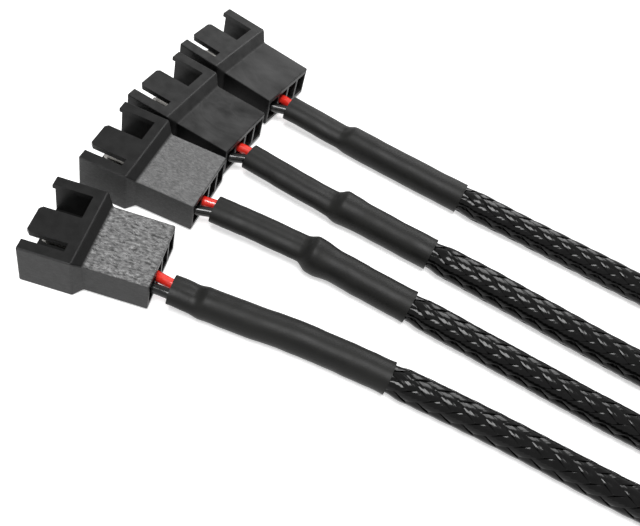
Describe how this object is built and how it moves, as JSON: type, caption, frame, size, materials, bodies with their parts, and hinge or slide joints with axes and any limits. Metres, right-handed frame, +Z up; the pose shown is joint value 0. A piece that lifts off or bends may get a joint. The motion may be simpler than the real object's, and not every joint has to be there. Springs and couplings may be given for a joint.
{
  "type": "fan splitter cable",
  "caption": "Fan splitter cable lying flat: braided legs with keyed pin-side fan connectors and heat-shrink tubes, joined in a flat boot that leads to a power plug.",
  "frame": {"origin": "on the table, under the middle of the four fan connectors with their heat-shrink tubes", "axes": "+X from the fan connectors along the legs to the power plug, +Y across the legs, +Z up from the table"},
  "size_m": [0.2627, 0.058, 0.0102],
  "materials": {
    "connector_plastic": "black moulded nylon, satin with a fine grain",
    "contact_metal": "tin plating, slightly dull",
    "black_insulation": "smooth black wire insulation",
    "red_insulation": "smooth red wire insulation",
    "heat_shrink": "shrunk black tubing with a soft sheen",
    "braided_sleeve": "black braid of plastic filament bundles",
    "plug_plastic": "black moulded nylon"
  },
  "bodies": {
    "root": {"fan_connector_housing_1": "connector_plastic", "fan_connector_housing_2": "connector_plastic", "fan_connector_housing_3": "connector_plastic", "fan_connector_housing_4": "connector_plastic", "ground_contact_1": "contact_metal", "ground_contact_2": "contact_metal", "ground_contact_3": "contact_metal", "ground_contact_4": "contact_metal", "supply_contact_1": "contact_metal", "supply_contact_2": "contact_metal", "supply_contact_3": "contact_metal", "supply_contact_4": "contact_metal", "black_wire_1": "black_insulation", "black_wire_2": "black_insulation", "black_wire_3": "black_insulation", "black_wire_4": "black_insulation", "red_wire_1": "red_insulation", "red_wire_2": "red_insulation", "red_wire_3": "red_insulation", "red_wire_4": "red_insulation", "heat_shrink_tube_1": "heat_shrink", "heat_shrink_tube_2": "heat_shrink", "heat_shrink_tube_3": "heat_shrink", "heat_shrink_tube_4": "heat_shrink", "braided_sleeve_1": "braided_sleeve", "braided_sleeve_2": "braided_sleeve", "braided_sleeve_3": "braided_sleeve", "braided_sleeve_4": "braided_sleeve", "joint_heat_shrink": "heat_shrink", "black_input_wire": "black_insulation", "red_input_wire": "red_insulation", "power_plug_housing": "plug_plastic", "power_plug_ground_pin": "contact_metal", "power_plug_supply_pin": "contact_metal"}
  },
  "joints": []
}
